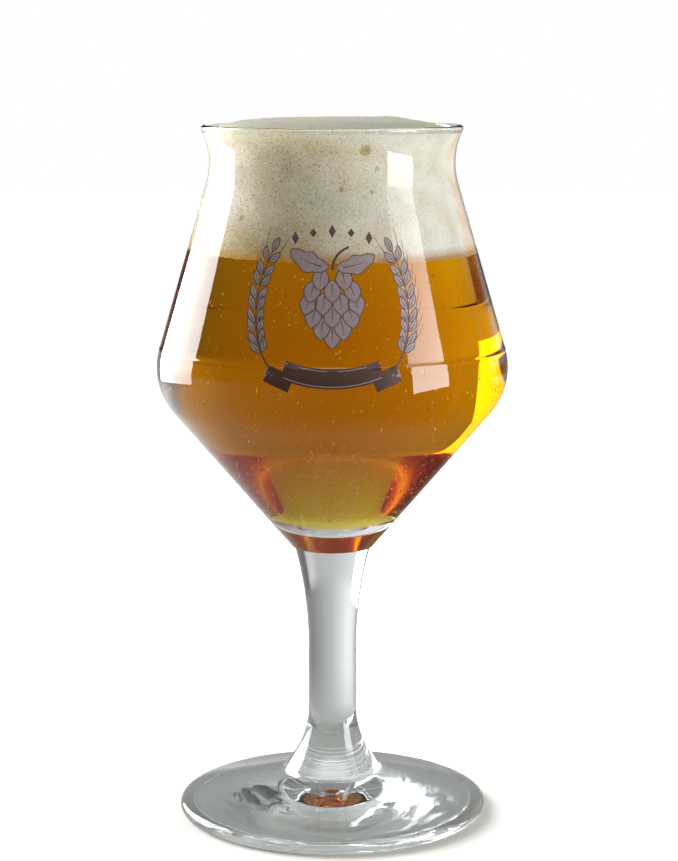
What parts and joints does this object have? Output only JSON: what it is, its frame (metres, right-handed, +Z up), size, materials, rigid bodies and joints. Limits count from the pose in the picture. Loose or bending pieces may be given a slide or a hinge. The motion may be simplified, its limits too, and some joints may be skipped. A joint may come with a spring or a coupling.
{
  "type": "stemmed beer glass",
  "caption": "Stemmed tulip beer glass with a flared lip, angular shoulder, cone base and round foot, poured full with amber beer under a foam head.",
  "frame": {"origin": "on the axis of the glass, in the plane of the table that the foot stands on", "axes": "+Z up along the axis of the glass, -Y towards the viewer"},
  "size_m": [0.0944, 0.0944, 0.1895],
  "materials": {
    "glass": "polished",
    "beer": "gloss",
    "foam": "matte"
  },
  "bodies": {
    "root": {"foot": "glass", "stem": "glass", "bowl": "glass", "beer": "beer", "foam_head": "foam"}
  },
  "joints": []
}
